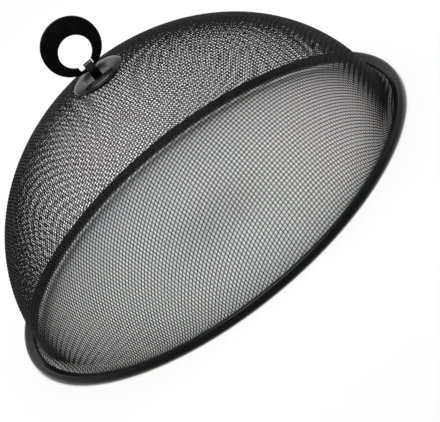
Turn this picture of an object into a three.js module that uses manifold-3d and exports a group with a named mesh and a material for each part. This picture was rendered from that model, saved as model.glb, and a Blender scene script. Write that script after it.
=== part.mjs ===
// Mesh food cover: a pressed wire mesh dome in a rolled steel rim, lifted by a ring that swings on a bail.
// Millimetres, +Z up. The rim stands on z = 0, the dome's axis is Z, and the ring at rest faces -Y.

import * as THREE from 'three';
import { mergeVertices } from 'three/addons/utils/BufferGeometryUtils.js';
import Module from 'manifold-3d';

const wasm = await Module();
wasm.setup();

// Driving dimensions of the rim

const rimRadius = 150;
const rollRadius = 2.65;
const rimSheet = 0.6;
const rimLipLength = 5;
const rimLipDegrees = 15;
const lapLength = 20;
const lapSheet = 0.5;
const lapTongue = 0.8;
const lapDegrees = 90;

// Driving dimensions of the mesh

const domeTop = 119.8;
const crownRadius = 19.5;
const flareRadius = 3.2;
const meshTuck = 3.6;
const meshThickness = 0.9;
const meshWireWidth = 1.9;
const meshCellsAcross = 19;
const weaveDegrees = -71;

// Driving dimensions of the handle

const plateRadius = 18.3;
const plateSheet = 0.8;
const plateEdgeHeight = 0.9;
const plateCrestRadius = 10.4;
const plateCrestHeight = 3.1;
const plateDishRadius = 7.2;
const plateDishHeight = 1.3;
const washerRadius = 14;
const washerSheet = 1;
const bailWidth = 6;
const bailSheet = 1;
const bailBend = 1.2;
const footLength = 4.5;
const ringRadius = 19.35;
const fingerRadius = 10.95;
const fingerDrop = 4.2;
const ringThickness = 3;
const ringEdge = 0.4;
const barHeight = 2;
const notchWidth = 9.8;
const barAbovePlate = 7;

// Clearances

const seatGap = 0.3;
const barGap = 0.7;
const barSlack = 2.25;
const ringSlideShare = 0.75;
const slotGap = 0.35;
const cutOverrun = 2;
const toleranceShare = 0.01;
const snapShare = 0.15;
const lapBiteShare = 0.25;

// Facet counts

const rimSegments = 60;
const rollSegments = 5;
const lapSegments = 3;
const plateSegments = 32;
const plateCurveSegments = 4;
const bailCurveSegments = 4;
const ringSegments = 16;
const ringEdgeSegments = 2;
const wireSegments = 6;
const flareSteps = 2;
const solverSteps = 12;

// Worked out from the driving dimensions

const tolerance = seatGap * toleranceShare;
const snap = meshWireWidth * snapShare;
const lipHeight = rollRadius;
const rollCentre = rimRadius - rollRadius;
const rollWrap = ((Math.PI / 2) * rollSegments) / (rollSegments - 1);
const rollStep = (2 * rollWrap) / rollSegments;
const hoopWireRadius = rollRadius - rimSheet - seatGap;
const meshEdgeRadius = (rollCentre - hoopWireRadius) * Math.cos(Math.PI / rimSegments) - seatGap;
const flareEndRadius = meshEdgeRadius - meshTuck;
const plateSeat = domeTop + meshThickness / 2 + seatGap;
const washerTop = domeTop - meshThickness / 2 - seatGap;
const washerBottom = washerTop - washerSheet;
const pivotHeight = plateSeat + barAbovePlate + barHeight / 2;
const bailGap = ringThickness / 2 + barGap;
const bailTop = pivotHeight + barHeight / 2 + barSlack + bailSheet;
const ringSlide = (ringSlideShare * (notchWidth - bailWidth)) / 2;

const blackWire = { color: 0x1b1b1c, roughness: 0.5, metalness: 0.6 };
const blackRim = { color: 0x1f1f20, roughness: 0.42, metalness: 0.5 };
const blackGloss = { color: 0x0d0d0e, roughness: 0.18, metalness: 0.4 };
const blackSatin = { color: 0x0b0b0b, roughness: 0.45, metalness: 0.2 };

// General helpers

function radians(degrees) {
  return THREE.MathUtils.degToRad(degrees);
}

function signedVolume(geometry) {
  const position = geometry.attributes.position;
  const index = geometry.index;
  const corners = [new THREE.Vector3(), new THREE.Vector3(), new THREE.Vector3()];
  let total = 0;
  for (let k = 0; k < index.count; k += 3) {
    corners.forEach((corner, c) => corner.fromBufferAttribute(position, index.getX(k + c)));
    total += corners[0].dot(corners[1].cross(corners[2]));
  }
  return total;
}

// Joins shared corners and turns every face outward, so that the geometry is one closed solid
function closedSolid(geometry) {
  geometry.deleteAttribute('normal');
  geometry.deleteAttribute('uv');
  const merged = mergeVertices(geometry, tolerance);
  if (signedVolume(merged) < 0) {
    const index = merged.index;
    for (let k = 0; k < index.count; k += 3) {
      const first = index.getX(k);
      index.setX(k, index.getX(k + 1));
      index.setX(k + 1, first);
    }
  }
  return merged;
}

function toManifold(geometry) {
  const solid = closedSolid(geometry);
  const mesh = new wasm.Mesh({
    numProp: 3,
    vertProperties: new Float32Array(solid.attributes.position.array),
    triVerts: new Uint32Array(solid.index.array),
  });
  return new wasm.Manifold(mesh);
}

function fromManifold(solid) {
  const mesh = solid.getMesh();
  const geometry = new THREE.BufferGeometry();
  geometry.setAttribute('position', new THREE.BufferAttribute(new Float32Array(mesh.vertProperties), 3));
  geometry.setIndex(new THREE.BufferAttribute(new Uint32Array(mesh.triVerts), 1));
  return geometry;
}

function namedMesh(name, geometry, finish) {
  geometry.computeVertexNormals();
  const mesh = new THREE.Mesh(geometry, new THREE.MeshStandardMaterial(finish));
  mesh.name = name;
  return mesh;
}

// Offsets a line of points by half a sheet to each side and closes the two sides into one outline
function sheetOutline(points, sheet) {
  const near = [];
  const far = [];
  points.forEach((point, k) => {
    const before = points[Math.max(k - 1, 0)];
    const after = points[Math.min(k + 1, points.length - 1)];
    const back = k > 0 ? point.clone().sub(before).normalize() : after.clone().sub(point).normalize();
    const ahead = k < points.length - 1 ? after.clone().sub(point).normalize() : back.clone();
    const along = back.clone().add(ahead).normalize();
    const reach = sheet / 2 / along.dot(back);
    const side = new THREE.Vector2(-along.y, along.x).multiplyScalar(reach);
    near.push(point.clone().add(side));
    far.push(point.clone().sub(side));
  });
  return [...near, ...far.reverse()];
}

// Turns an outline of (radius, height) points about Z
function turned(outline, segments) {
  const closed = [...outline, outline[0].clone()];
  const geometry = new THREE.LatheGeometry(closed, segments);
  geometry.rotateX(Math.PI / 2);
  return closedSolid(geometry);
}

// Turns a profile that starts and ends on the axis about Z
function turnedSolid(profile, segments) {
  const geometry = new THREE.LatheGeometry(profile, segments);
  geometry.rotateX(Math.PI / 2);
  return closedSolid(geometry);
}

// Extrudes an outline drawn in (y, z) by a width centred on x = 0
function extrudedAlongX(outline, width) {
  const geometry = new THREE.ExtrudeGeometry(new THREE.Shape(outline), { depth: width, bevelEnabled: false });
  geometry.translate(0, 0, -width / 2);
  geometry.applyMatrix4(new THREE.Matrix4().makeBasis(
    new THREE.Vector3(0, 1, 0),
    new THREE.Vector3(0, 0, 1),
    new THREE.Vector3(1, 0, 0),
  ));
  return closedSolid(geometry);
}

// Rim: a steel strip rolled round the hoop wire, its two lips pinching the edge of the mesh

// The roll passes its top and its foot by half a facet each, so that the foot is one flat ring on z = 0
function rollLine(segments, growth) {
  const radius = (rollRadius - rimSheet / 2 + growth) / Math.cos(rollStep / 2);
  const end = rollWrap - segments * rollStep;
  return new THREE.EllipseCurve(rollCentre, lipHeight, radius, radius, rollWrap, end, true).getPoints(segments);
}

function lipEnd(rollPoint, degrees, length) {
  const angle = radians(degrees);
  return new THREE.Vector2(rollPoint.x - length * Math.cos(angle), rollPoint.y - length * Math.sin(angle));
}

function bandLine() {
  const roll = rollLine(rollSegments, 0);
  const upper = lipEnd(roll[0], rimLipDegrees, rimLipLength);
  const lower = lipEnd(roll[roll.length - 1], -rimLipDegrees, rimLipLength);
  return [upper, ...roll, lower];
}

// The lap is the strip's outer end, slid over the inner end and stopping short of the foot
function lapLine() {
  const growth = (rimSheet + lapSheet) / 2 - lapSheet * lapBiteShare;
  const roll = rollLine(lapSegments, growth);
  const upper = lipEnd(roll[0], rimLipDegrees, rimLipLength + lapTongue);
  return [upper, ...roll];
}

function lapWedge() {
  const angle = lapLength / rimRadius;
  const reach = (rimRadius + cutOverrun) / Math.cos(angle / 2);
  const wedge = new THREE.Shape();
  wedge.moveTo(0, 0);
  wedge.lineTo(reach, 0);
  wedge.lineTo(reach * Math.cos(angle), reach * Math.sin(angle));
  wedge.closePath();
  const depth = 2 * rollRadius + 2 * cutOverrun;
  const geometry = new THREE.ExtrudeGeometry(wedge, { depth, bevelEnabled: false });
  geometry.translate(0, 0, -cutOverrun);
  geometry.rotateZ(radians(lapDegrees));
  return geometry;
}

function rimBand() {
  const band = toManifold(turned(sheetOutline(bandLine(), rimSheet), rimSegments));
  const sleeve = toManifold(turned(sheetOutline(lapLine(), lapSheet), rimSegments));
  const lap = sleeve.intersect(toManifold(lapWedge()));
  return fromManifold(band.add(lap));
}

function hoopWire() {
  const wire = new THREE.TorusGeometry(rollCentre, hoopWireRadius, wireSegments, rimSegments);
  wire.translate(0, 0, lipHeight);
  return closedSolid(wire);
}

// Mesh: square weave pressed over an elliptical dome, flat under the plate and flared into the rim

// Finds the dome's half axes and the angle where the flare leaves it, so that the two meet smoothly
function domeForm() {
  let radius = flareEndRadius - flareRadius;
  let rise = domeTop - lipHeight;
  let start = 0;
  let lean = 0;
  for (let step = 0; step < solverSteps; step += 1) {
    rise = (domeTop - lipHeight) / Math.sqrt(1 - (crownRadius / radius) ** 2);
    lean = Math.atan((radius / rise) * Math.tan(start));
    start = Math.asin((flareRadius * (1 - Math.sin(lean))) / rise);
    radius = (flareEndRadius - flareRadius * Math.cos(lean)) / Math.cos(start);
  }
  return { radius, rise, start, lean };
}

function domeSection() {
  const { radius, rise, start, lean } = domeForm();
  const crown = Math.acos(crownRadius / radius);
  const path = new THREE.Path();
  path.moveTo(0, domeTop);
  path.lineTo(crownRadius, domeTop);
  path.absellipse(0, lipHeight, radius, rise, crown, start, true);
  path.absarc(flareEndRadius, lipHeight + flareRadius, flareRadius, Math.PI + lean, Math.PI * 1.5, false);
  path.lineTo(meshEdgeRadius, lipHeight);
  return path;
}

const meshSection = domeSection();
const sectionLengths = meshSection.getCurveLengths();
const sectionLength = sectionLengths[sectionLengths.length - 1];
const flareStartLength = sectionLengths[sectionLengths.length - 3];
const flareEndLength = sectionLengths[sectionLengths.length - 2];
const meshPitch = (2 * flareEndLength) / meshCellsAcross;

// Places a point of the flat weave on the dome, with depth measured outward from the mesh's middle
function pressed(point, depth) {
  const run = point.length();
  const share = Math.min(run / sectionLength, 1);
  const place = meshSection.getPoint(share);
  const along = meshSection.getTangent(share);
  const radius = place.x - along.y * depth;
  const height = place.y + along.x * depth;
  const angle = Math.atan2(point.y, point.x) + radians(weaveDegrees);
  return new THREE.Vector3(radius * Math.cos(angle), radius * Math.sin(angle), height);
}

// The shares of an edge's length at which it crosses a circle about the weave's centre, its ends left out
function circleCrossings(from, to, radius) {
  const edge = to.clone().sub(from);
  const a = edge.lengthSq();
  const b = 2 * from.dot(edge);
  const c = from.lengthSq() - radius * radius;
  const root = b * b - 4 * a * c;
  if (root <= 0) {
    return [];
  }
  const margin = snap / Math.sqrt(a);
  const shares = [(-b - Math.sqrt(root)) / (2 * a), (-b + Math.sqrt(root)) / (2 * a)];
  return shares.filter((share) => share > margin && share < 1 - margin);
}

// Circles where the section bends, so that each wire gets a corner there
function creaseRadii() {
  const radii = [crownRadius];
  for (let step = 0; step < flareSteps; step += 1) {
    radii.push(flareStartLength + ((flareEndLength - flareStartLength) * step) / flareSteps);
  }
  return radii;
}

// One square of the weave, with corners added on the creases and cut off at the end of the flare. A side
// that runs where a corner was cut off lies on the weave's edge.
function weaveCell(column, row, creases) {
  const corners = [[0, 0], [1, 0], [1, 1], [0, 1]].map(([stepX, stepY]) => new THREE.Vector2(
    (column + stepX - meshCellsAcross / 2) * meshPitch,
    (row + stepY - meshCellsAcross / 2) * meshPitch,
  ));
  const whole = corners.flatMap((corner, k) => {
    const next = corners[(k + 1) % corners.length];
    const cuts = [...creases, flareEndLength].flatMap((radius) => circleCrossings(corner, next, radius));
    const stops = [0, ...cuts.sort((first, second) => first - second)];
    return stops.map((share) => corner.clone().lerp(next, share));
  });
  const kept = whole.map((point) => point.length() < flareEndLength + snap);
  const followed = kept.map((isKept, k) => kept[(k + 1) % kept.length]);
  return {
    cell: whole.filter((point, k) => kept[k]),
    edgeSides: followed.filter((isFollowed, k) => kept[k]).map((isFollowed) => !isFollowed),
  };
}

function cross(first, second) {
  return first.x * second.y - first.y * second.x;
}

// The line half a wire inside one side of a cell
function innerLine(corner, next) {
  const along = next.clone().sub(corner).normalize();
  const inward = new THREE.Vector2(-along.y, along.x);
  return { start: corner.clone().addScaledVector(inward, meshWireWidth / 2), along };
}

// Where two lines meet, or for two lines in a row the point beside the corner between them
function lineCrossing(first, second, corner) {
  const turn = cross(first.along, second.along);
  const inRow = Math.abs(turn) < toleranceShare;
  const reach = inRow
    ? corner.clone().sub(first.start).dot(first.along)
    : cross(second.start.clone().sub(first.start), second.along) / turn;
  return first.start.clone().addScaledVector(first.along, reach);
}

// One point of the opening for each corner of a cell. Sides too short for the wires beside them drop out
// one by one, and their two corners then share a point. Null when nothing open is left.
function cellOpening(cell) {
  const lines = cell.map((corner, k) => innerLine(corner, cell[(k + 1) % cell.length]));
  const live = cell.map((corner, k) => k);
  while (live.length > 2) {
    const opening = cell.map((corner, k) => {
      const after = live.find((side) => side >= k) ?? live[0];
      const before = live.findLast((side) => side < k) ?? live[live.length - 1];
      return lineCrossing(lines[before], lines[after], corner);
    });
    const runs = live.map((side) => {
      const next = opening[(side + 1) % cell.length];
      return next.clone().sub(opening[side]).dot(lines[side].along);
    });
    const shortest = Math.min(...runs);
    if (shortest > 0) {
      return THREE.ShapeUtils.area(opening) > meshWireWidth ** 2 ? opening : null;
    }
    live.splice(runs.indexOf(shortest), 1);
  }
  return null;
}

class SolidBuilder {
  constructor() {
    this.corners = [];
  }

  triangle(a, b, c) {
    const sides = [a.distanceTo(b), b.distanceTo(c), c.distanceTo(a)];
    if (Math.min(...sides) > tolerance) {
      this.corners.push(a, b, c);
    }
  }

  quad(a, b, c, d) {
    this.triangle(a, b, c);
    this.triangle(a, c, d);
  }

  geometry() {
    return closedSolid(new THREE.BufferGeometry().setFromPoints(this.corners));
  }
}

function addFrame(builder, cell, opening) {
  const half = meshThickness / 2;
  cell.forEach((corner, k) => {
    const next = (k + 1) % cell.length;
    const [a, b, c, d] = [corner, cell[next], opening[next], opening[k]];
    builder.quad(...[a, b, c, d].map((point) => pressed(point, half)));
    builder.quad(...[d, c, b, a].map((point) => pressed(point, -half)));
    builder.quad(pressed(d, half), pressed(c, half), pressed(c, -half), pressed(d, -half));
  });
}

function addWeb(builder, cell) {
  const half = meshThickness / 2;
  const middle = new THREE.Vector2();
  cell.forEach((corner) => middle.add(corner));
  middle.divideScalar(cell.length);
  cell.forEach((corner, k) => {
    const fan = [middle, corner, cell[(k + 1) % cell.length]];
    builder.triangle(...fan.map((point) => pressed(point, half)));
    builder.triangle(...fan.reverse().map((point) => pressed(point, -half)));
  });
}

// The edge of the weave runs on from the flare into the rim, as one flattened hem
function addHem(builder, cell, edgeSides) {
  const half = meshThickness / 2;
  cell.forEach((corner, k) => {
    if (edgeSides[k]) {
      const next = cell[(k + 1) % cell.length];
      const [outerA, outerB] = [corner, next].map((point) => point.clone().setLength(sectionLength));
      builder.quad(pressed(corner, half), pressed(outerA, half), pressed(outerB, half), pressed(next, half));
      builder.quad(pressed(next, -half), pressed(outerB, -half), pressed(outerA, -half), pressed(corner, -half));
      builder.quad(pressed(outerA, half), pressed(outerA, -half), pressed(outerB, -half), pressed(outerB, half));
    }
  });
}

function meshDome() {
  const builder = new SolidBuilder();
  const creases = creaseRadii();
  for (let column = -1; column <= meshCellsAcross; column += 1) {
    for (let row = -1; row <= meshCellsAcross; row += 1) {
      const { cell, edgeSides } = weaveCell(column, row, creases);
      const opening = cellOpening(cell);
      if (opening) {
        addFrame(builder, cell, opening);
      } else if (cell.length > 2) {
        addWeb(builder, cell);
      }
      if (cell.length > 1) {
        addHem(builder, cell, edgeSides);
      }
    }
  }
  return builder.geometry();
}

// Handle plate: a pressed cap that rises to a crest and dips to a dish, where the bail's legs go through

function plateLine() {
  const edge = new THREE.Vector2(plateRadius - plateSheet / 2, plateSheet / 2);
  const crest = new THREE.Vector2(plateCrestRadius, plateCrestHeight - plateSheet / 2);
  const dish = new THREE.Vector2(plateDishRadius, plateDishHeight - plateSheet / 2);
  const shoulder = new THREE.Vector2(edge.x - plateSheet / 2, plateEdgeHeight);
  const outer = new THREE.QuadraticBezierCurve(shoulder, new THREE.Vector2(shoulder.x - plateSheet, crest.y), crest);
  const middle = (crest.x + dish.x) / 2;
  const inner = new THREE.CubicBezierCurve(
    crest,
    new THREE.Vector2(middle, crest.y),
    new THREE.Vector2(middle, dish.y),
    dish,
  );
  const line = [edge, ...outer.getPoints(plateCurveSegments), ...inner.getPoints(plateCurveSegments).slice(1)];
  return line;
}

function legSlots(depth, bottom) {
  const width = bailWidth + 2 * slotGap;
  const length = bailSheet + 2 * slotGap;
  const offset = bailGap + bailSheet / 2;
  const slots = [-offset, offset].map((y) => {
    const slot = new THREE.BoxGeometry(width, length, depth);
    slot.translate(0, y, bottom + depth / 2);
    return toManifold(slot);
  });
  return slots[0].add(slots[1]);
}

function handlePlate() {
  const line = plateLine();
  const outline = sheetOutline(line, plateSheet);
  const inside = outline.slice(0, line.length);
  const outside = outline.slice(line.length);
  const profile = [
    new THREE.Vector2(0, outside[0].y),
    ...outside,
    ...inside,
    new THREE.Vector2(0, inside[inside.length - 1].y),
  ];
  const plate = turnedSolid(profile, plateSegments);
  plate.translate(0, 0, plateSeat);
  const slots = legSlots(plateCrestHeight + 2 * cutOverrun, plateSeat - cutOverrun);
  return fromManifold(toManifold(plate).subtract(slots));
}

function backingWasher() {
  const washer = new THREE.CylinderGeometry(washerRadius, washerRadius, washerSheet, plateSegments);
  washer.rotateX(Math.PI / 2);
  washer.translate(0, 0, washerBottom + washerSheet / 2);
  const slots = legSlots(washerSheet + 2 * cutOverrun, washerBottom - cutOverrun);
  return fromManifold(toManifold(washer).subtract(slots));
}

// Bail: one flat strip bent over the ring's bar, down through plate and mesh, its feet spread under the washer

function bailLine() {
  const arch = bailGap + bailSheet / 2;
  const archHeight = bailTop - bailSheet / 2 - arch;
  const footHeight = washerBottom - seatGap - bailSheet / 2;
  const path = new THREE.Path();
  path.moveTo(-arch - bailBend - footLength, footHeight);
  path.lineTo(-arch - bailBend, footHeight);
  path.absarc(-arch - bailBend, footHeight + bailBend, bailBend, -Math.PI / 2, 0, false);
  path.lineTo(-arch, archHeight);
  path.absarc(0, archHeight, arch, Math.PI, 0, true);
  path.lineTo(arch, footHeight + bailBend);
  path.absarc(arch + bailBend, footHeight + bailBend, bailBend, Math.PI, Math.PI * 1.5, false);
  path.lineTo(arch + bailBend + footLength, footHeight);
  return path.getPoints(bailCurveSegments);
}

function withoutRepeats(points) {
  return points.filter((point, k) => k === 0 || point.distanceTo(points[k - 1]) > tolerance);
}

function handleBail() {
  return extrudedAlongX(sheetOutline(withoutRepeats(bailLine()), bailSheet), bailWidth);
}

// Ring: a flat crescent ring, narrow at the foot, where a notch leaves a thin bar inside the bail

// The outline is drawn one edge rounding inside the ring's true outline, and the bevel grows it to size
function ringShape() {
  const centre = ringRadius - barHeight / 2;
  const holeRadius = fingerRadius + ringEdge;
  const notchHalf = notchWidth / 2 + ringEdge;
  const notchAngle = Math.asin(notchHalf / holeRadius);
  const start = notchAngle - Math.PI / 2;
  const shape = new THREE.Shape();
  shape.absarc(0, centre, ringRadius - ringEdge, 0, 2 * Math.PI, false);
  const hole = new THREE.Path();
  hole.moveTo(-notchHalf, barHeight / 2 - ringEdge);
  hole.lineTo(notchHalf, barHeight / 2 - ringEdge);
  hole.absarc(0, centre - fingerDrop, holeRadius, start, start + 2 * (Math.PI - notchAngle), false);
  hole.closePath();
  shape.holes.push(hole);
  return shape;
}

// The ring hangs loose on its bar, and rests slid to the left in the bail, as in the photo
function ringHandle() {
  const geometry = new THREE.ExtrudeGeometry(ringShape(), {
    depth: ringThickness - 2 * ringEdge,
    bevelThickness: ringEdge,
    bevelSize: ringEdge,
    bevelSegments: ringEdgeSegments,
    curveSegments: ringSegments,
  });
  geometry.translate(-ringSlide, 0, ringEdge - ringThickness / 2);
  geometry.rotateX(Math.PI / 2);
  return closedSolid(geometry);
}

const cover = new THREE.Group();
cover.add(namedMesh('mesh_dome', meshDome(), blackWire));
cover.add(namedMesh('rim_band', rimBand(), blackRim));
cover.add(namedMesh('hoop_wire', hoopWire(), blackWire));
cover.add(namedMesh('handle_plate', handlePlate(), blackGloss));
cover.add(namedMesh('backing_washer', backingWasher(), blackGloss));
cover.add(namedMesh('handle_bail', handleBail(), blackSatin));

const swing = new THREE.Group();
swing.position.z = pivotHeight;
swing.add(namedMesh('ring_handle', ringHandle(), blackSatin));
cover.add(swing);

export default cover;
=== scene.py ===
"""Mesh food cover: a woven wire dome in a rolled steel rim, lifted by a ring that swings on a bail.

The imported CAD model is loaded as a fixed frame, and each visible piece is modelled and dressed over
it. Lengths are metres and angles degrees unless a comment says otherwise. +Z is up, and the ring at
rest faces -Y.
"""

from __future__ import annotations

import logging
import math
from collections.abc import Callable, Sequence
from dataclasses import dataclass, field
from enum import Enum

import bmesh
import bpy
import numpy as np
from mathutils import Matrix, Vector

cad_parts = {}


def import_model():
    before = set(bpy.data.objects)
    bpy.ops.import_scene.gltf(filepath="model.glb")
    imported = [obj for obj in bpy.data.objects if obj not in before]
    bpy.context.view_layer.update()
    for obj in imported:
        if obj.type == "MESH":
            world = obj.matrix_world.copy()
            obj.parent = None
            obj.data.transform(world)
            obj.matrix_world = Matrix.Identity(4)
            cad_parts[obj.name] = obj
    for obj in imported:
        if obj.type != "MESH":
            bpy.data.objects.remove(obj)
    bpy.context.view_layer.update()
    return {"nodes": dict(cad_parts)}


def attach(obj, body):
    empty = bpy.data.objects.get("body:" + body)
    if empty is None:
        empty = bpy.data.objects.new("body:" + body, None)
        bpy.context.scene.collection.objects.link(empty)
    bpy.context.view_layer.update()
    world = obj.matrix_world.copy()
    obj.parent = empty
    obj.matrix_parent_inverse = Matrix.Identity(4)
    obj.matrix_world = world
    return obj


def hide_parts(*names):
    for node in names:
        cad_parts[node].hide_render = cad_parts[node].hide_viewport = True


LOG = logging.getLogger("food_cover")
WELD = 1e-7
NOISE_MIDDLE = 0.5

Profile = list[tuple[float, float]]


class Strip(Enum):
    """The strips that each family of wires is split into, as shares of the weave's half width."""

    NEAR = (-1.0, -0.25)
    MIDDLE = (-0.25, 0.25)
    FAR = (0.25, 1.0)


class Family(Enum):
    """The two wire directions of the plain weave."""

    WARP = 0
    WEFT = 1


class Plane(Enum):
    """The planes that a profile is drawn in, as the axes of its two coordinates."""

    XZ = (0, 2)
    YZ = (1, 2)


# Modelling


def deselect_all() -> None:
    for item in bpy.context.selected_objects:
        item.select_set(False)
    bpy.context.view_layer.objects.active = None


def take_up(piece: bpy.types.Object) -> None:
    """Makes a piece the only selected object and the active one.

    Args:
        piece: The object to work on.
    """
    deselect_all()
    piece.select_set(True)
    bpy.context.view_layer.objects.active = piece


def in_edit_mode(piece: bpy.types.Object, *steps: Callable[[], object]) -> None:
    """Runs edit operators on the whole of a piece, selecting all before each one.

    Args:
        piece: The object whose mesh is edited.
        steps: The operators to run, in order.
    """
    take_up(piece)
    bpy.ops.object.mode_set(mode="EDIT")
    for step in steps:
        bpy.ops.mesh.select_all(action="SELECT")
        step()
    bpy.ops.object.mode_set(mode="OBJECT")


def add_object(name: str, data: bpy.types.ID) -> bpy.types.Object:
    """Adds an object to the scene.

    Args:
        name: The object's name.
        data: Its curve, lamp or camera data.

    Returns:
        The new object.
    """
    item = bpy.data.objects.new(name, data)
    bpy.context.scene.collection.objects.link(item)
    return item


def outline_piece(
    name: str, profile: Profile, plane: Plane, closed: bool = True
) -> bpy.types.Object:
    """Adds a circle primitive and shapes it into a profile.

    Args:
        name: The piece's name.
        profile: The profile's points in order.
        plane: The plane that the profile is drawn in.
        closed: False leaves out the edge from the last point to the first.

    Returns:
        The new object, a loop of edges.
    """
    deselect_all()
    bpy.ops.mesh.primitive_circle_add(vertices=len(profile), radius=1.0, fill_type="NOTHING")
    piece = bpy.context.active_object
    piece.name = name
    piece.data.name = name
    corners = np.zeros((len(profile), 3))
    for column, axis in enumerate(plane.value):
        corners[:, axis] = [point[column] for point in profile]
    piece.data.vertices.foreach_set("co", corners.ravel())
    if not closed:
        work = bmesh.new()
        work.from_mesh(piece.data)
        work.verts.ensure_lookup_table()
        last = work.edges.get((work.verts[-1], work.verts[0]))
        work.edges.remove(last)
        work.to_mesh(piece.data)
        work.free()
    piece.data.update()
    return piece


def spin_profile(piece: bpy.types.Object, steps: int, turn: float = 360.0) -> None:
    """Turns an edge loop about Z and closes its seams and poles.

    Args:
        piece: The object that holds the loop.
        steps: How many faces there are round the turn.
        turn: The angle in degrees; a full turn is welded shut.
    """
    in_edit_mode(
        piece,
        lambda: bpy.ops.mesh.spin(
            steps=steps, angle=math.radians(turn), center=(0, 0, 0), axis=(0, 0, 1), dupli=False
        ),
        lambda: bpy.ops.mesh.remove_doubles(threshold=WELD),
        lambda: bpy.ops.mesh.dissolve_degenerate(threshold=WELD),
        bpy.ops.mesh.delete_loose,
    )


def close_ends(piece: bpy.types.Object) -> None:
    """Fills the open ends of a partly turned sheet.

    Args:
        piece: The object that holds the sheet.
    """
    take_up(piece)
    bpy.ops.object.mode_set(mode="EDIT")
    bpy.ops.mesh.select_mode(type="EDGE")
    bpy.ops.mesh.select_all(action="DESELECT")
    bpy.ops.mesh.select_non_manifold()
    bpy.ops.mesh.edge_face_add()
    bpy.ops.mesh.select_mode(type="VERT")
    bpy.ops.object.mode_set(mode="OBJECT")


def face_outward(piece: bpy.types.Object) -> None:
    """Recalculates a closed piece's normals so that its faces point outward."""
    in_edit_mode(piece, lambda: bpy.ops.mesh.normals_make_consistent(inside=False))


def extrude_profile(piece: bpy.types.Object, along: Vector) -> None:
    """Fills a closed loop and extrudes it into a solid centred on the loop's plane.

    Args:
        piece: The object that holds the loop.
        along: The direction and full depth of the extrusion.
    """
    in_edit_mode(
        piece,
        bpy.ops.mesh.edge_face_add,
        lambda: bpy.ops.mesh.extrude_region_move(TRANSFORM_OT_translate={"value": tuple(along)}),
        lambda: bpy.ops.mesh.normals_make_consistent(inside=False),
    )
    piece.data.transform(Matrix.Translation(-along / 2))


def round_edges(piece: bpy.types.Object, width: float, segments: int, limit: float) -> None:
    """Bevels the sharp edges of a piece with an applied modifier.

    Args:
        piece: The object to bevel.
        width: The bevel's width.
        segments: How many faces round the bevel.
        limit: Edges sharper than this angle are bevelled.
    """
    take_up(piece)
    bevel = piece.modifiers.new("Rounded edges", "BEVEL")
    bevel.width = width
    bevel.segments = segments
    bevel.limit_method = "ANGLE"
    bevel.angle_limit = math.radians(limit)
    bevel.harden_normals = False
    bpy.ops.object.modifier_apply(modifier=bevel.name)


def cut_away(piece: bpy.types.Object, cutters: Sequence[bpy.types.Object]) -> None:
    """Cuts shapes out of a piece and removes the cutters.

    Args:
        piece: The object that is cut.
        cutters: The closed shapes to take away.
    """
    for cutter in cutters:
        take_up(piece)
        cut = piece.modifiers.new("Cut", "BOOLEAN")
        cut.operation = "DIFFERENCE"
        cut.solver = "EXACT"
        cut.object = cutter
        bpy.ops.object.modifier_apply(modifier=cut.name)
        bpy.data.objects.remove(cutter)


def smooth(piece: bpy.types.Object, limit: float) -> None:
    """Shades a piece smooth, but keeps the edges that are sharper than a limit in degrees."""
    take_up(piece)
    bpy.ops.object.shade_smooth_by_angle(angle=math.radians(limit))


def arc_points(
    centre: tuple[float, float], radius: float, start: float, end: float, steps: int
) -> Profile:
    """Points along a circular arc between two angles in degrees, both ends among them."""
    angles = np.radians(np.linspace(start, end, steps + 1))
    return [(centre[0] + radius * math.cos(a), centre[1] + radius * math.sin(a)) for a in angles]


def line_points(start: tuple[float, float], end: tuple[float, float], steps: int) -> Profile:
    """Evenly spaced points along a straight line, both ends among them."""
    return [tuple(point) for point in np.linspace(start, end, steps + 1)]


def curve_points(corners: Sequence[tuple[float, float]], steps: int) -> Profile:
    """Points along a Bezier curve of any degree.

    Args:
        corners: The curve's control points.
        steps: How many segments the curve has.

    Returns:
        The curve's points, both ends among them.
    """
    degree = len(corners) - 1
    powers = np.arange(degree + 1)
    counts = np.array([math.comb(degree, k) for k in range(degree + 1)])
    shares = np.linspace(0.0, 1.0, steps + 1)[:, None]
    weights = counts * (1 - shares) ** (degree - powers) * shares**powers
    return [tuple(point) for point in weights @ np.array(corners)]


def sheet_profile(
    line: Profile, thickness: float, end_steps: int = 4, on_axis: bool = False
) -> Profile:
    """Offsets a line to both sides and joins the sides with round ends.

    Args:
        line: The middle line of the sheet.
        thickness: The sheet's thickness.
        end_steps: How many segments each round end has.
        on_axis: True where the line ends level on the axis; the outline stays open there.

    Returns:
        The outline of the sheet.
    """
    points = np.array(line)
    along = np.gradient(points, axis=0)
    along /= np.linalg.norm(along, axis=1)[:, None]
    if on_axis:
        along[-1] = (-1.0, 0.0)
    side = np.stack([-along[:, 1], along[:, 0]], axis=1) * thickness / 2
    there = [tuple(point) for point in points + side]
    back = [tuple(point) for point in (points - side)[::-1]]
    caps = []
    for index, sign in ((0, -1.0), (-1, 1.0)):
        heading = math.degrees(math.atan2(*(sign * along[index][::-1])))
        cap = arc_points(tuple(points[index]), thickness / 2, heading + 90, heading - 90, end_steps)
        caps.append(cap[1:-1])
    if on_axis:
        return [*back, *caps[0], *there]
    return [*there, *caps[1], *back, *caps[0]]


# Shader graphs


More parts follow.
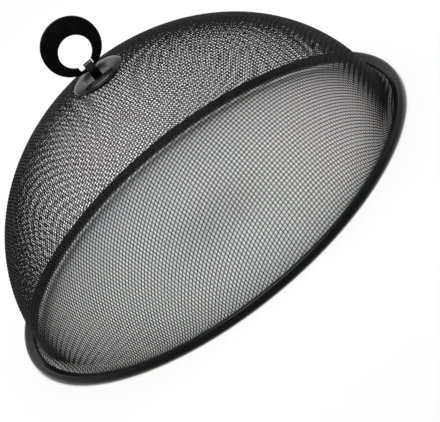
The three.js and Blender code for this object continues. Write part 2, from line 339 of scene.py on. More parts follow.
class Signal:
    """A shader value that takes part in Python expressions, each operator adding its Math node."""

    def __init__(self, graph: Graph, socket: bpy.types.NodeSocket) -> None:
        """Keeps the socket and the graph that it belongs to."""
        self.graph = graph
        self.socket = socket

    def _combine(self, operation: str, other: Signal | float) -> Signal:
        """The result of a Math node on this value and another."""
        return self.graph.add("ShaderNodeMath", {"operation": operation}, {0: self, 1: other})

    def __add__(self, other: Signal | float) -> Signal:
        """Sum."""
        return self._combine("ADD", other)

    __radd__ = __add__

    def __sub__(self, other: Signal | float) -> Signal:
        """Difference."""
        return self._combine("SUBTRACT", other)

    def __mul__(self, other: Signal | float) -> Signal:
        """Product."""
        return self._combine("MULTIPLY", other)

    __rmul__ = __mul__

    def clamped(self) -> Signal:
        """The value held between 0 and 1."""
        return self.graph.add("ShaderNodeClamp", {}, {"Value": self})

    def ramp(self, low: float, high: float, out_low: float = 0.0, out_high: float = 1.0) -> Signal:
        """Maps a range smoothly onto another.

        Args:
            low: The input that gives out_low.
            high: The input that gives out_high.
            out_low: The result at and below low.
            out_high: The result at and above high.

        Returns:
            The mapped value.
        """
        values = {"Value": self, "From Min": low, "From Max": high}
        values |= {"To Min": out_low, "To Max": out_high}
        return self.graph.add("ShaderNodeMapRange", {"interpolation_type": "SMOOTHSTEP"}, values)


Value = Signal | float | tuple


@dataclass(frozen=True)
class Grain:
    """A noise's blotch size in metres, its number of finer layers and how strong they are."""

    size: float
    detail: float = 3.0
    roughness: float = 0.5


class Graph:
    """The node graph of one material or of the world."""

    MIX_LOW, MIX_HIGH, MIX_RESULT = 6, 7, 2

    def __init__(self, tree: bpy.types.NodeTree) -> None:
        """Empties a node tree to build in it."""
        self.tree = tree
        tree.nodes.clear()

    def add(
        self,
        kind: str,
        settings: dict[str, object] | None = None,
        values: dict[int | str, Value] | None = None,
        output: int | str = 0,
    ) -> Signal:
        """Adds a node.

        Args:
            kind: The node's type.
            settings: Properties of the node, set before its sockets.
            values: Values or links of its input sockets, by name or number.
            output: The output socket to return.

        Returns:
            The chosen output.
        """
        node = self.tree.nodes.new(kind)
        for name, value in (settings or {}).items():
            setattr(node, name, value)
        for key, value in (values or {}).items():
            if isinstance(value, Signal):
                self.tree.links.new(value.socket, node.inputs[key])
            else:
                node.inputs[key].default_value = value
        return Signal(self, node.outputs[output])

    def place(self) -> Signal:
        """Object coordinates, which are metres in the shared frame."""
        return self.add("ShaderNodeTexCoord", output="Object")

    def noise(self, place: Signal, grain: Grain) -> Signal:
        """Noise with a real grain size.

        Args:
            place: The coordinates.
            grain: The noise's grain.

        Returns:
            The noise from 0 to 1.
        """
        values = {"Vector": place, "Scale": 1.0 / grain.size}
        values |= {"Detail": grain.detail, "Roughness": grain.roughness}
        return self.add("ShaderNodeTexNoise", {}, values)

    def cells(self, place: Signal, spacing: float) -> Signal:
        """Distance to the nearest of scattered points, as a share of their spacing in metres."""
        return self.add("ShaderNodeTexVoronoi", {}, {"Vector": place, "Scale": 1.0 / spacing})

    def stretched(self, place: Signal, scale: tuple[float, float, float]) -> Signal:
        """Coordinates scaled by a factor along each axis."""
        return self.add("ShaderNodeMapping", {}, {"Vector": place, "Scale": scale})

    def height(self, place: Signal) -> Signal:
        """The height of a place."""
        return self.add("ShaderNodeSeparateXYZ", {}, {0: place}, "Z")

    def mix_colour(self, share: Signal, low: tuple, high: tuple) -> Signal:
        """A mix of two colours, of which the share says how much of the second shows."""
        values = {0: share, self.MIX_LOW: low, self.MIX_HIGH: high}
        return self.add("ShaderNodeMix", {"data_type": "RGBA"}, values, self.MIX_RESULT)

    def bump(self, height: Signal, depth: float, strength: float) -> Signal:
        """A normal bumped by a height from 0 to 1, with its relief's depth in metres."""
        values = {"Height": height, "Distance": depth, "Strength": strength}
        return self.add("ShaderNodeBump", {}, values)

    def coat(
        self,
        colour: Signal,
        roughness: Signal,
        normal: Signal,
        specular: float = 0.5,
        metallic: float = 0.0,
    ) -> None:
        """Adds a surface shader and links it to the output node.

        Args:
            colour: The surface's colour.
            roughness: Its roughness.
            normal: Its bumped normal.
            specular: The strength of its reflections, 0.5 for plain gloss.
            metallic: 1 for bare metal.
        """
        values = {"Base Color": colour, "Roughness": roughness, "Normal": normal}
        values |= {"Specular IOR Level": specular, "Metallic": metallic}
        self.finish(self.add("ShaderNodeBsdfPrincipled", {}, values))

    def finish(self, shader: Signal, kind: str = "ShaderNodeOutputMaterial") -> None:
        """Links a shader to the output node."""
        node = self.tree.nodes.new(kind)
        self.tree.links.new(shader.socket, node.inputs["Surface"])


def grey(level: float) -> tuple[float, float, float, float]:
    """An opaque neutral colour."""
    return (level, level, level, 1.0)


def new_material(name: str) -> tuple[bpy.types.Material, Graph]:
    """Adds a material.

    Args:
        name: The material's name.

    Returns:
        The material and its empty graph.
    """
    material = bpy.data.materials.new(name)
    material.use_nodes = True
    return material, Graph(material.node_tree)


@dataclass(frozen=True)
class CoatedWire:
    """Black baked coating on fine steel wire, a little uneven and rubbed at the crests."""

    base: float = 0.004
    rubbed: tuple[float, float, float, float] = (0.012, 0.012, 0.01236, 1.0)
    rubbed_range: tuple[float, float] = (0.45, 0.75)
    roughness: float = 0.40
    roughness_spread: float = 0.12
    specular: float = 0.10
    blotches: Grain = Grain(0.011, 4.0, 0.6)
    pits: Grain = Grain(0.0003, 2.0)
    pit_depth: float = 0.00003
    pit_share: float = 0.5

    def material(self) -> bpy.types.Material:
        """Builds the wire's material.

        Returns:
            The material.
        """
        material, graph = new_material("coated_wire")
        place = graph.place()
        blotch = graph.noise(place, self.blotches)
        pit = graph.noise(place, self.pits)
        colour = graph.mix_colour(blotch.ramp(*self.rubbed_range), grey(self.base), self.rubbed)
        roughness = self.roughness + self.roughness_spread * (pit - NOISE_MIDDLE)
        normal = graph.bump(pit, self.pit_depth, self.pit_share)
        graph.coat(colour, roughness, normal, self.specular)
        return material


@dataclass(frozen=True)
class RimEnamel:
    """Semi-gloss black enamel on rolled strip, with orange peel and worn high spots."""

    base: float = 0.003
    worn: float = 0.025
    roughness: float = 0.24
    blotch_roughness: float = 0.1
    worn_roughness: float = 0.15
    specular: float = 0.075
    foot: float = 0.0006
    scuff_range: tuple[float, float] = (0.4, 0.6)
    chip_spacing: float = 0.004
    chip_size: tuple[float, float] = (0.05, 0.09)
    chip_share: float = 0.7
    chip_range: tuple[float, float] = (0.5, 0.62)
    blotches: Grain = Grain(0.02, 4.0, 0.6)
    peel: Grain = Grain(0.0011, 2.0)
    peel_depth: float = 0.00004
    peel_share: float = 0.35

    def material(self) -> bpy.types.Material:
        """Builds the rim's material.

        Returns:
            The material.
        """
        material, graph = new_material("rim_enamel")
        place = graph.place()
        peel = graph.noise(place, self.peel)
        blotch = graph.noise(place, self.blotches)
        speck = graph.cells(place, self.chip_spacing)
        foot = graph.height(place).ramp(0.0, self.foot, 1.0, 0.0)
        scuff = foot * blotch.ramp(*self.scuff_range)
        chip = speck.ramp(*self.chip_size, self.chip_share, 0.0) * blotch.ramp(*self.chip_range)
        wear = (scuff + chip).clamped()
        colour = graph.mix_colour(wear, grey(self.base), grey(self.worn))
        roughness = self.roughness + self.blotch_roughness * (blotch - NOISE_MIDDLE)
        roughness += self.worn_roughness * wear
        normal = graph.bump(peel, self.peel_depth, self.peel_share)
        graph.coat(colour, roughness, normal, self.specular)
        return material


@dataclass(frozen=True)
class GlossEnamel:
    """Deep black gloss enamel on pressed sheet, with faint haze and hair scratches."""

    base: float = 0.003
    haze: float = 0.010
    haze_range: tuple[float, float] = (0.4, 0.8)
    roughness: float = 0.14
    haze_roughness: float = 0.06
    scratch_roughness: float = 0.10
    specular: float = 0.18
    blotches: Grain = Grain(0.006, 4.0, 0.55)
    hairs: Grain = Grain(0.0003, 2.0)
    hair_stretch: tuple[float, float, float] = (1.0, 0.06, 1.0)
    scratch_range: tuple[float, float] = (0.66, 0.72)
    wave_depth: float = 0.00005
    wave_share: float = 0.15

    def material(self) -> bpy.types.Material:
        """Builds the plate's material.

        Returns:
            The material.
        """
        material, graph = new_material("gloss_enamel")
        place = graph.place()
        blotch = graph.noise(place, self.blotches)
        hair = graph.noise(graph.stretched(place, self.hair_stretch), self.hairs)
        hazy = blotch.ramp(*self.haze_range)
        scratch = hair.ramp(*self.scratch_range)
        colour = graph.mix_colour(hazy, grey(self.base), grey(self.haze))
        roughness = self.roughness + self.haze_roughness * blotch
        roughness += self.scratch_roughness * scratch
        normal = graph.bump(blotch, self.wave_depth, self.wave_share)
        graph.coat(colour, roughness, normal, self.specular)
        return material


@dataclass(frozen=True)
class SatinPaint:
    """Satin black paint with a fine grain and a slight sheen where fingers rub it."""

    name: str = "satin_paint"
    base: float = 0.0025
    rubbed: float = 0.006
    rubbed_range: tuple[float, float] = (0.4, 0.75)
    roughness: float = 0.50
    roughness_spread: float = 0.1
    rubbed_gloss: float = 0.08
    specular: float = 0.03
    blotches: Grain = Grain(0.009, 3.0, 0.6)
    grain: Grain = Grain(0.0005, 3.0)
    grain_depth: float = 0.00003
    grain_share: float = 0.5

    def material(self) -> bpy.types.Material:
        """Builds the paint's material.

        Returns:
            The material.
        """
        material, graph = new_material(self.name)
        place = graph.place()
        grain = graph.noise(place, self.grain)
        blotch = graph.noise(place, self.blotches)
        touched = blotch.ramp(*self.rubbed_range)
        colour = graph.mix_colour(touched, grey(self.base), grey(self.rubbed))
        roughness = self.roughness + self.roughness_spread * (grain - NOISE_MIDDLE)
        roughness -= self.rubbed_gloss * blotch
        normal = graph.bump(grain, self.grain_depth, self.grain_share)
        graph.coat(colour, roughness, normal, self.specular)
        return material


@dataclass(frozen=True)
class DrawnSteel:
    """Plain drawn steel wire with fine lines and a grey oxide bloom."""

    base: float = 0.28
    bloom: float = 0.16
    roughness: float = 0.38
    roughness_spread: float = 0.2
    blooms: Grain = Grain(0.008, 4.0)
    lines: Grain = Grain(0.0008, 2.0)
    line_stretch: tuple[float, float, float] = (1.0, 1.0, 12.0)
    line_depth: float = 0.00002
    line_share: float = 0.4

    def material(self) -> bpy.types.Material:
        """Builds the hidden hoop's material.

        Returns:
            The material.
        """
        material, graph = new_material("drawn_steel")
        place = graph.place()
        bloom = graph.noise(place, self.blooms)
        lines = graph.noise(graph.stretched(place, self.line_stretch), self.lines)
        colour = graph.mix_colour(bloom, grey(self.base), grey(self.bloom))
        roughness = self.roughness + self.roughness_spread * (lines - NOISE_MIDDLE)
        normal = graph.bump(lines, self.line_depth, self.line_share)
        graph.coat(colour, roughness, normal, metallic=1.0)
        return material


# Pieces


@dataclass
class DomeSection:
    """The mesh's middle line from the crown out to its edge in the rim, by its length."""

    crown_radius: float = 0.0195
    top: float = 0.1198
    radius: float = 0.13835
    rise: float = 0.118331
    lip_height: float = 0.00265
    flare_radius: float = 0.0042
    flare_solver_steps: int = 20
    seat_steps: int = 19
    bulge_steps: int = 499
    flare_steps: int = 30
    edge_radius: float = 0.1451
    lengths: np.ndarray = field(init=False)
    points: np.ndarray = field(init=False)
    normals: np.ndarray = field(init=False)

    def __post_init__(self) -> None:
        """Samples the section and measures its length."""
        start, lean = self.flare_angles()
        crown = math.acos(self.crown_radius / self.radius)
        angles = np.linspace(crown, start, self.bulge_steps + 1)
        bulge = np.stack(
            [self.radius * np.cos(angles), self.lip_height + self.rise * np.sin(angles)], axis=1
        )
        out = self.radius * math.cos(start) + self.flare_radius * math.cos(lean)
        centre = (out, self.lip_height + self.flare_radius)
        flare = arc_points(
            centre, self.flare_radius, 180 + math.degrees(lean), 270, self.flare_steps
        )
        seat = line_points((0.0, self.top), (self.crown_radius, self.top), self.seat_steps)[:-1]
        hem = [(self.edge_radius, self.lip_height)]
        self.points = np.array([*seat, *map(tuple, bulge), *flare[1:], *hem])
        steps = np.linalg.norm(np.diff(self.points, axis=0), axis=1)
        self.lengths = np.concatenate([[0.0], np.cumsum(steps)])
        along = np.gradient(self.points, self.lengths, axis=0)
        along /= np.linalg.norm(along, axis=1)[:, None]
        self.normals = np.stack([-along[:, 1], along[:, 0]], axis=1)

    def flare_angles(self) -> tuple[float, float]:
        """Finds where the bulge runs smoothly into the flare.

        Returns:
            The bulge's last angle and the lean of the sheet there from upright, in radians.
        """
        start = lean = 0.0
        for _ in range(self.flare_solver_steps):
            start = math.asin(self.flare_radius * (1 - math.sin(lean)) / self.rise)
            lean = math.atan(math.tan(start) * self.radius / self.rise)
        return start, lean

    def place(self, length: np.ndarray, azimuth: np.ndarray, depth: np.ndarray) -> np.ndarray:
        """Places points on the dome.

        Args:
            length: Distances from the crown along the section.
            azimuth: Angles about the dome's axis, in radians.
            depth: Heights above the mesh's middle surface.

        Returns:
            The points, one per row.
        """
        radius, height, out, up = (
            np.interp(length, self.lengths, column)
            for column in (*self.points.T, *self.normals.T)
        )
        radius = radius + out * depth
        height = height + up * depth
        return np.stack([radius * np.cos(azimuth), radius * np.sin(azimuth), height], axis=1)


@dataclass
class WovenDome:
    """Plain square weave pressed over the dome, every wire passing over and under those it crosses.

    The press shares (press_* and far_*) say how much closer together the wires came when the flat
    weave was pressed. They multiply the second and fourth powers of the distance from the crown, in
    rim radii, along a wire and across it. Beyond press_reach the last share holds. The skew leans
    the two families together. The front_slack opens the weave in front and closes it at the back.
    """

    section: DomeSection
    finish: bpy.types.Material
    rim_radius: float = 0.150
    pitch: float = 0.00223
    weft_share: float = 1.054
    wire: float = 0.00051
    crimp: float = 0.00022
    uneven: float = 0.000015
    weave_angle: float = -72.1
    skew: float = 0.051
    front_slack: float = 0.07
    press_along: float = 0.050
    press_across: float = -0.057
    far_along: float = -0.021
    far_both: float = 0.027
    far_across: float = -0.082
    press_reach: float = 1.18
    solver_steps: int = 30
    most_wires: int = 200
    crown_gap: float = 0.5
    flat_reach: float = 1.15
    search_steps: int = 8
    fewest_points: int = 3
    wire_facets: int = 2
    shade_limit: float = 100.0

    def pressed(self, flat: np.ndarray) -> tuple[np.ndarray, np.ndarray]:
        """Finds where points of the flat weave lie on the dome.

        Args:
            flat: The points of the flat weave, one per row.

        Returns:
            Their distances from the crown along the section, and their azimuths in radians.
        """
        warp, weft = flat.T / self.rim_radius
        warp, weft = warp - self.skew * weft, weft - self.skew * warp
        x, y = warp, weft
        for _ in range(self.solver_steps):
            away = np.maximum(np.hypot(x, y), self.press_reach)
            held = self.press_reach / away
            xx, yy = (x * held) ** 2, (y * held) ** 2
            x, y = warp / self.press(xx, yy), weft / self.press(yy, xx)
        turn = np.arctan2(y, x) + math.radians(self.weave_angle)
        run = np.hypot(x, y)
        run = run / (1 + self.front_slack * run * np.sin(turn))
        return run * self.rim_radius, turn

    def press(self, along: np.ndarray, across: np.ndarray) -> np.ndarray:
        """How much the press drew the weave together.

        Args:
            along: Squares of the distances from the crown along the wires.
            across: Squares of the distances across them.

        Returns:
            The flat distance over the pressed one.
        """
        near = self.press_along * along + self.press_across * across
        far = self.far_along * along**2 + self.far_across * across**2
        return 1 + near + far + self.far_both * along * across

    def spots(self, family: Family, numbers: np.ndarray | int) -> np.ndarray | float:
        """Places of wires across the flat weave, each a little off its even spacing.

        Args:
            family: The wires' direction.
            numbers: The wires' numbers; a fraction lies between two wires.

        Returns:
            The wires' distances from the middle of the weave.
        """
        share = 1.0 if family is Family.WARP else self.weft_share
        every = np.arange(-self.most_wires, self.most_wires + 1)
        wander = np.random.default_rng(family.value).normal(0.0, self.uneven, len(every))
        return np.interp(numbers, every, (every + self.crown_gap) * self.pitch * share + wander)

    def wire_path(self, family: Family, index: int, limit: int) -> np.ndarray | None:
        """The path of one wire from edge to edge.

        Args:
            family: The wire's direction.
            index: The wire's number, counted from the one beside the crown.
            limit: The highest number of a crossing that can lie on the dome.

        Returns:
            The path's points, or None where the wire misses the dome.
        """
        crossings = np.arange(-limit, limit + 1)
        fine = np.linspace(-limit, limit, 2 * limit * self.search_steps + 1)
        offset = self.spots(family, index)
        other = Family.WEFT if family is Family.WARP else Family.WARP

        def flat_points(steps: np.ndarray) -> np.ndarray:
            """Finds points of the flat weave along this wire.

            Args:
                steps: How far along they lie, in crossings.

            Returns:
                The points, one per row.
            """
            along = self.spots(other, steps)
            across = np.full_like(along, offset)
            pair = (across, along) if family is Family.WARP else (along, across)
            return np.stack(pair, axis=1)

        inside = fine[np.hypot(*flat_points(fine).T) < limit * self.pitch]
        if len(inside) < self.fewest_points:
            return None
        length, _ = self.pressed(flat_points(inside))
        inside = inside[length < self.section.lengths[-1]]
        if len(inside) < self.fewest_points:
            return None
        kept = crossings[(crossings > inside[0]) & (crossings < inside[-1])]
        steps = np.concatenate([[inside[0]], kept, [inside[-1]]])
        sign = 1.0 if family is Family.WARP else -1.0
        wave = sign * np.where((kept + index) % 2 == 0, 1.0, -1.0) * self.crimp
        wave = np.concatenate([[0.0], wave, [0.0]])
        length, azimuth = self.pressed(flat_points(steps))
        return self.section.place(length, azimuth, wave)

    def wires(self, family: Family, strip: Strip) -> bpy.types.Object:
        """Models one strip of one family of wires.

        Args:
            family: The direction of the wires.
            strip: The strip that the wires start in.

        Returns:
            The piece, one mesh of closed wires.
        """
        limit = int(self.section.lengths[-1] * self.flat_reach / self.pitch)
        name = f"mesh_{family.name.lower()}_{strip.name.lower()}"
        curve = bpy.data.curves.new(name, "CURVE")
        curve.dimensions = "3D"
        curve.bevel_depth = self.wire / 2
        curve.bevel_resolution = self.wire_facets
        curve.use_fill_caps = True
        first, end = (round(limit * share) for share in strip.value)
        for index in range(first, end):
            path = self.wire_path(family, index, limit)
            if path is None:
                continue
            spline = curve.splines.new("POLY")
            spline.points.add(len(path) - 1)
            spline.points.foreach_set("co", np.column_stack([path, np.ones(len(path))]).ravel())
        take_up(add_object(name, curve))
        bpy.ops.object.convert(target="MESH")
        piece = bpy.context.active_object
        piece.data.name = name
        smooth(piece, self.shade_limit)
        dress(piece, self.finish, "cover", "mesh_wire", "mesh_dome")
        return piece

    def build(self) -> list[bpy.types.Object]:
        """Models all the wires, as one piece for each strip of each family."""
        return [self.wires(family, strip) for family in Family for strip in Strip]


def dress(
    piece: bpy.types.Object, finish: bpy.types.Material, body: str, slot: str, *nodes: str
) -> None:
    """Gives a piece its finish and its body, and hides the CAD nodes that it stands for.

    Args:
        piece: The piece.
        finish: Its material.
        body: The CAD body that it rides on.
        slot: Not used.
        nodes: The CAD nodes that it replaces.
    """
    piece.data.materials.clear()
    piece.data.materials.append(finish)
    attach(piece, body)
    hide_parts(*nodes)
    LOG.info("%s: %d faces on body %s", piece.name, len(piece.data.polygons), body)


@dataclass
class RolledRim:
    """A strip rolled round a hoop wire, its lips closed on the mesh, with one lapped joint."""

    finish: bpy.types.Material
    outer_radius: float = 0.150
    roll_radius: float = 0.00265
    sheet: float = 0.0006
    lip_length: float = 0.0036
    lip_slope: float = 22.0
    lip_angle: float = 112.5
    lap_sheet: float = 0.0005
    lap_angle: float = 90.0
    lap_turn: float = 7.6
    lap_tongue: float = 0.0007
    lap_foot_angle: float = -24.0
    lap_bite: float = 0.25
    lap_steps: int = 10
    lap_edge: float = 0.00012
    lap_edge_steps: int = 2
    lap_edge_limit: float = 60.0
    round_steps: int = 200
    roll_steps: int = 18
    lip_steps: int = 4
    shade_limit: float = 50.0

    def roll_line(self, growth: float, lip_length: float, foot_angle: float) -> Profile:
        """The middle line of the strip, from the upper lip round the roll.

        Args:
            growth: How far outside the rim's own strip the line lies.
            lip_length: The length of the upper lip.
            foot_angle: The angle at which the roll ends.

        Returns:
            The line's points.
        """
        centre = (self.outer_radius - self.roll_radius, self.roll_radius)
        radius = self.roll_radius - self.sheet / 2 + growth
        roll = arc_points(centre, radius, self.lip_angle, foot_angle, self.roll_steps)
        tip = self.lip_tip(roll[0], lip_length, -1.0)
        return [*line_points(tip, roll[0], self.lip_steps)[:-1], *roll]

    def lip_tip(self, root: tuple[float, float], length: float, way: float) -> tuple[float, float]:
        """The tip of a lip that leaves the roll at its root, sloping up (1) or down (-1) inward."""
        slope = math.radians(self.lip_slope)
        return root[0] - length * math.cos(slope), root[1] + way * length * math.sin(slope)

    def band(self) -> bpy.types.Object:
        """Models the rolled strip.

        Returns:
            The piece.
        """
        upper = self.roll_line(0.0, self.lip_length, -self.lip_angle)
        tip = self.lip_tip(upper[-1], self.lip_length, 1.0)
        line = [*upper, *line_points(upper[-1], tip, self.lip_steps)[1:]]
        piece = outline_piece("rim_band_rolled", sheet_profile(line, self.sheet), Plane.XZ)
        spin_profile(piece, self.round_steps)
        face_outward(piece)
        smooth(piece, self.shade_limit)
        dress(piece, self.finish, "cover", "rim_paint", "rim_band")
        return piece

    def lap(self) -> bpy.types.Object:
        """Models the strip's outer end, lapped over the inner one.

        Returns:
            The piece.
        """
        growth = (self.sheet + self.lap_sheet) / 2 - self.lap_sheet * self.lap_bite
        line = self.roll_line(growth, self.lip_length + self.lap_tongue, self.lap_foot_angle)
        piece = outline_piece("rim_lap_joint", sheet_profile(line, self.lap_sheet), Plane.XZ)
        piece.data.transform(Matrix.Rotation(math.radians(self.lap_angle), 4, "Z"))
        spin_profile(piece, self.lap_steps, self.lap_turn)
        close_ends(piece)
        face_outward(piece)
        round_edges(piece, self.lap_edge, self.lap_edge_steps, self.lap_edge_limit)
        smooth(piece, self.shade_limit)
        dress(piece, self.finish, "cover", "rim_paint", "rim_band")
        return piece


@dataclass
class CrownPlate:
    """The pressed plate on the crown, the washer under the mesh, and the bail's slots in both."""

    finish: bpy.types.Material
    radius: float = 0.0183
    sheet: float = 0.0008
    seat: float = 0.12055
    edge_height: float = 0.0009
    crest_radius: float = 0.0104
    crest_height: float = 0.0031
    dish_radius: float = 0.0072
    dish_height: float = 0.0013
    washer_radius: float = 0.0140
    washer_bottom: float = 0.11805
    washer_sheet: float = 0.0010
    slot_width: float = 0.0067
    slot_length: float = 0.0017
    slot_offset: float = 0.0027
    slot_depth: float = 0.010
    edge_swell: float = 0.9
    edge_lean: float = 0.1
    shoulder_inset: float = 0.7
    edge_steps: int = 4
    slope_steps: int = 14
    dish_steps: int = 10
    floor_steps: int = 4
    cap_steps: int = 6
    washer_edge: float = 0.00025
    washer_edge_steps: int = 3
    round_steps: int = 96
    shade_limit: float = 40.0

    def slots(self, height: float) -> list[bpy.types.Object]:
        """Cutters for the two slots.

        Args:
            height: The height of the sheet that they cut.

        Returns:
            Two box-shaped cutters.
        """
        cutters = []
        for side in (-1, 1):
            deselect_all()
            bpy.ops.mesh.primitive_cube_add(
                size=1.0,
                location=(0, side * self.slot_offset, height),
                scale=(self.slot_width, self.slot_length, self.slot_depth),
            )
            cutter = bpy.context.active_object
            bpy.ops.object.transform_apply(location=True, rotation=True, scale=True)
            cutters.append(cutter)
        return cutters

    def plate(self) -> bpy.types.Object:
        """Models the pressed plate.

        Returns:
            The piece.
        """
        half = self.sheet / 2
        edge = (self.radius - half, half)
        shoulder = (edge[0] - half * self.shoulder_inset, self.edge_height)
        swell = (edge[0] - half * self.edge_lean, self.edge_height * self.edge_swell)
        crest = (self.crest_radius, self.crest_height - half)
        dish = (self.dish_radius, self.dish_height - half)
        middle = (crest[0] + dish[0]) / 2
        outer = curve_points([edge, swell, shoulder], self.edge_steps)
        slope = curve_points(
            [shoulder, (shoulder[0] - self.sheet, crest[1]), crest], self.slope_steps
        )
        inner = curve_points(
            [crest, (middle, crest[1]), (middle, dish[1]), dish], self.dish_steps
        )
        floor = line_points(dish, (0.0, dish[1]), self.floor_steps)
        line = [*outer, *slope[1:], *inner[1:], *floor[1:]]
        outline = sheet_profile(line, self.sheet, self.cap_steps, on_axis=True)
        profile = [(max(r, 0.0), z + self.seat) for r, z in outline]
        piece = outline_piece("crown_plate", profile, Plane.XZ, closed=False)
        spin_profile(piece, self.round_steps)
        face_outward(piece)
        cut_away(piece, self.slots(self.seat))
        smooth(piece, self.shade_limit)
        dress(piece, self.finish, "cover", "plate_enamel", "handle_plate")
        return piece

    def washer(self) -> bpy.types.Object:
        """Models the washer under the mesh, with rolled-over edges.

        Returns:
            The piece.
        """
        deselect_all()
        bpy.ops.mesh.primitive_cylinder_add(
            vertices=self.round_steps,
            radius=self.washer_radius,
            depth=self.washer_sheet,
            location=(0, 0, self.washer_bottom + self.washer_sheet / 2),
        )
        piece = bpy.context.active_object
        piece.name = "backing_washer_pressed"
        bpy.ops.object.transform_apply(location=True, rotation=True, scale=True)
        cut_away(piece, self.slots(self.washer_bottom))
        round_edges(piece, self.washer_edge, self.washer_edge_steps, self.shade_limit)
        smooth(piece, self.shade_limit)
        dress(piece, self.finish, "cover", "plate_enamel", "backing_washer")
        return piece


@dataclass
class StrapBail:
    """One flat strap bent over the ring's bar, with its feet spread under the washer."""

    finish: bpy.types.Material
    width: float = 0.0060
    sheet: float = 0.0010
    arch: float = 0.0027
    bend: float = 0.0012
    foot_length: float = 0.0045
    foot_height: float = 0.11725
    top: float = 0.13280
    straight_steps: int = 4
    heel_steps: int = 8
    arch_steps: int = 12
    end_steps: int = 2
    edge: float = 0.00018
    edge_steps: int = 3
    edge_limit: float = 50.0
    shade_limit: float = 40.0

    def build(self) -> bpy.types.Object:
        """Models the strap.

        Returns:
            The piece.
        """
        crown = self.top - self.sheet / 2 - self.arch
        toe = self.arch + self.bend
        shin = self.foot_height + self.bend
        tip = (-toe - self.foot_length, self.foot_height)
        foot = line_points(tip, (-toe, self.foot_height), self.straight_steps)
        heel = arc_points((-toe, shin), self.bend, -90, 0, self.heel_steps)
        rise = line_points((-self.arch, shin), (-self.arch, crown), self.straight_steps)
        over = arc_points((0, crown), self.arch, 180, 90, self.arch_steps)
        half = [*foot[:-1], *heel, *rise[1:-1], *over]
        line = [*half, *[(-y, z) for y, z in reversed(half[:-1])]]
        piece = outline_piece(
            "bail_strap", sheet_profile(line, self.sheet, self.end_steps), Plane.YZ
        )
        extrude_profile(piece, Vector((self.width, 0, 0)))
        round_edges(piece, self.edge, self.edge_steps, self.edge_limit)
        smooth(piece, self.shade_limit)
        dress(piece, self.finish, "cover", "bail_paint", "handle_bail")
        return piece


@dataclass
class LiftingRing:
    """A flat crescent ring with rounded edges, whose notch leaves a thin hinge bar at its foot."""

    finish: bpy.types.Material
    radius: float = 0.01935
    finger_radius: float = 0.01095
    finger_drop: float = 0.0042
    thickness: float = 0.0030
    bar_height: float = 0.0020
    notch_width: float = 0.0098
    edge: float = 0.00055
    slide: float = 0.001425
    pivot_height: float = 0.12855
    steps: int = 120
    bar_steps: int = 8
    side_steps: int = 3
    edge_steps: int = 4
    edge_limit: float = 45.0
    shade_limit: float = 40.0

    def loops(self) -> tuple[Profile, Profile]:
        """The ring's outer and inner outlines, with as many points each.

        Returns:
            The outer outline and the inner one, both from beside the notch and the same way round.
        """
        centre = self.radius - self.bar_height / 2
        hole = centre - self.finger_drop
        half = self.notch_width / 2
        bar_top = self.bar_height / 2
        notch = math.degrees(math.asin(half / self.finger_radius))
        corner_height = hole - self.finger_radius * math.cos(math.radians(notch))
        bar = line_points((-half, bar_top), (half, bar_top), self.bar_steps)
        side_up = line_points((half, bar_top), (half, corner_height), self.side_steps)
        side_down = line_points((-half, corner_height), (-half, bar_top), self.side_steps)
        arc_steps = self.steps - self.bar_steps - 2 * self.side_steps
        arc = arc_points((0, hole), self.finger_radius, -90 + notch, 270 - notch, arc_steps)
        inner = [*arc, *side_down[1:-1], *bar[:-1], *side_up[:-1]]
        first, last = (math.degrees(math.atan2(z - centre, x)) for x, z in (arc[0], arc[-1]))
        sweep = [math.degrees(math.atan2(z - centre, x)) for x, z in arc]
        foot_steps = len(inner) - len(arc) + 1
        foot = np.linspace(last, first, foot_steps + 1)[1:-1]
        angles = [math.radians(angle) for angle in (*sweep, *foot)]
        outer = [(self.radius * math.cos(a), centre + self.radius * math.sin(a)) for a in angles]
        return outer, inner

    def build(self) -> bpy.types.Object:
        """Models the ring.

        Returns:
            The piece.
        """
        outer, inner = self.loops()
        count = len(inner)
        piece = outline_piece("lifting_ring", [*outer, *inner], Plane.XZ)
        work = bmesh.new()
        work.from_mesh(piece.data)
        for edge in list(work.edges):
            work.edges.remove(edge)
        work.verts.ensure_lookup_table()
        for k in range(count):
            nxt = (k + 1) % count
            work.faces.new([work.verts[i] for i in (k, nxt, count + nxt, count + k)])
        work.to_mesh(piece.data)
        work.free()
        depth = {"value": (0, self.thickness, 0)}
        in_edit_mode(
            piece,
            lambda: bpy.ops.mesh.extrude_region_move(TRANSFORM_OT_translate=depth),
            lambda: bpy.ops.mesh.normals_make_consistent(inside=False),
        )
        hinge = Vector((-self.slide, -self.thickness / 2, self.pivot_height))
        piece.data.transform(Matrix.Translation(hinge))
        round_edges(piece, self.edge, self.edge_steps, self.edge_limit)
        smooth(piece, self.shade_limit)
        dress(piece, self.finish, "ring", "ring_paint", "ring_handle")
        return piece


# Studio


@dataclass(frozen=True)
class SoftBox:
    """A rectangular lamp: its name, its centre, its width and height, and its power in watts."""

    name: str
    place: tuple[float, float, float]
    size: tuple[float, float]
    power: float

    def hang(self, aim: Vector) -> None:
        """Hangs the lamp so that it faces a point.

        Args:
            aim: The point that it faces.
        """
        data = bpy.data.lights.new(self.name, "AREA")
        data.shape = "RECTANGLE"
        data.size, data.size_y = self.size
        data.energy = self.power
        lamp = add_object(self.name, data)
        lamp.location = self.place
        heading = aim - Vector(self.place)
        lamp.rotation_euler = heading.to_track_quat("-Z", "Y").to_euler()


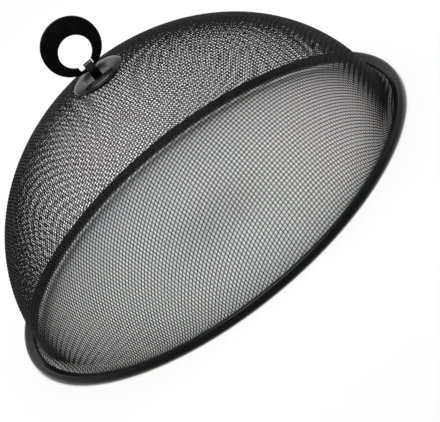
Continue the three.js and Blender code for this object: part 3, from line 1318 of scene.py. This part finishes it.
@dataclass
class Studio:
    """A pale floor, soft lamps, a white surround and the camera of the photograph."""

    elevation: float = 23.78
    roll: float = 39.50
    distance: float = 1.300
    lens: float = 164.13
    sensor: float = 36.0
    image_width: int = 440
    image_height: int = 422
    clip_range: tuple[float, float] = (0.05, 30.0)
    rim_pixel: tuple[float, float] = (210.9, 212.9)
    floor_size: float = 8.0
    floor_level: float = 0.90
    floor_glow: tuple[float, float] = (0.02, 1.0)
    glow_reach: tuple[float, float] = (0.25, 0.9)
    surround: float = 0.25
    lamp_aim: tuple[float, float, float] = (0.0, 0.0, 0.06)
    boxes: tuple[SoftBox, ...] = (
        SoftBox("top_box", (0.0, 0.15, 2.2), (1.15, 1.15), 44.0),
        SoftBox("left_box", (-1.3, 0.3, 0.7), (0.5, 1.0), 2.0),
        SoftBox("right_box", (1.3, 0.3, 0.7), (0.5, 1.0), 2.0),
    )

    def camera(self) -> None:
        """Places the camera, turned about its view so that the cover leans to the upper left."""
        lift, lean = math.radians(self.elevation), math.radians(self.roll)
        back = Vector((0, -math.cos(lift), math.sin(lift)))
        level_right = Vector((1, 0, 0))
        level_up = back.cross(level_right)
        right = math.cos(lean) * level_right - math.sin(lean) * level_up
        up = math.sin(lean) * level_right + math.cos(lean) * level_up
        focal = self.lens / self.sensor * self.image_width
        aside = (self.image_width / 2 - self.rim_pixel[0]) / focal * self.distance
        below = (self.rim_pixel[1] - self.image_height / 2) / focal * self.distance
        place = back * self.distance
        aim = right * aside + up * below
        axis = (place - aim).normalized()
        right = (right - axis * right.dot(axis)).normalized()
        up = axis.cross(right)
        data = bpy.data.cameras.new("photo_camera")
        data.lens = self.lens
        data.sensor_width = self.sensor
        data.clip_start, data.clip_end = self.clip_range
        camera = add_object("photo_camera", data)
        turn = Matrix((right, up, axis)).transposed().to_4x4()
        camera.matrix_world = Matrix.Translation(place) @ turn
        bpy.context.scene.camera = camera

    def floor(self) -> None:
        """Lays the floor, which keeps the cover's shadow and glows white further out."""
        deselect_all()
        bpy.ops.mesh.primitive_plane_add(size=self.floor_size, location=(0, 0, 0))
        floor = bpy.context.active_object
        floor.name = "studio_floor"
        material, graph = new_material("pale_floor")
        diffuse = graph.add("ShaderNodeBsdfDiffuse", {}, {"Color": grey(self.floor_level)})
        glow = graph.add("ShaderNodeEmission", {}, {"Color": grey(1.0), "Strength": 1.0})
        distance = graph.add(
            "ShaderNodeVectorMath", {"operation": "LENGTH"}, {0: graph.place()}, "Value"
        )
        share = self.seen_directly(graph) * distance.ramp(*self.glow_reach, *self.floor_glow)
        graph.finish(graph.add("ShaderNodeMixShader", {}, {0: share, 1: diffuse, 2: glow}))
        floor.data.materials.append(material)

    @staticmethod
    def seen_directly(graph: Graph) -> Signal:
        """Tells the rays that show a surface from the light that it casts on the cover.

        Args:
            graph: The graph to add the nodes to.

        Returns:
            1 for the camera's rays, reflections and what shows through, 0 for the others.
        """
        node = graph.tree.nodes.new("ShaderNodeLightPath")
        rays = [
            Signal(graph, node.outputs[name])
            for name in ("Is Camera Ray", "Is Glossy Ray", "Is Transmission Ray")
        ]
        return (rays[0] + rays[1] + rays[2]).clamped()

    def world(self) -> None:
        """Surrounds the scene with white, dimmer for the light that falls on the cover."""
        world = bpy.data.worlds.new("white_surround")
        world.use_nodes = True
        bpy.context.scene.world = world
        graph = Graph(world.node_tree)
        lit = graph.add("ShaderNodeBackground", {}, {"Color": grey(1.0), "Strength": self.surround})
        seen = graph.add("ShaderNodeBackground", {}, {"Color": grey(1.0), "Strength": 1.0})
        share = self.seen_directly(graph)
        surround = graph.add("ShaderNodeMixShader", {}, {0: share, 1: lit, 2: seen})
        graph.finish(surround, "ShaderNodeOutputWorld")

    def build(self) -> None:
        """Sets up the whole studio."""
        self.camera()
        self.floor()
        self.world()
        for box in self.boxes:
            box.hang(Vector(self.lamp_aim))
        bpy.context.scene.view_settings.view_transform = "Standard"


def main() -> None:
    """Loads the frame, sets up the studio, builds each sub-assembly in order and finishes the hidden
    hoop.
    """
    logging.basicConfig(level=logging.INFO, format="%(name)s: %(message)s")
    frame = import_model()
    Studio().build()
    wire = CoatedWire().material()
    enamel = RimEnamel().material()
    gloss = GlossEnamel().material()
    strap = SatinPaint("strap_paint", base=0.002, roughness=0.16, specular=0.20).material()
    satin = SatinPaint("ring_paint").material()
    WovenDome(DomeSection(), wire).build()
    rim = RolledRim(enamel)
    rim.band()
    rim.lap()
    crown = CrownPlate(gloss)
    crown.plate()
    crown.washer()
    StrapBail(strap).build()
    LiftingRing(satin).build()
    hoop = frame["nodes"]["hoop_wire"]
    hoop.data.materials.clear()
    hoop.data.materials.append(DrawnSteel().material())


if __name__ == "__main__":
    main()
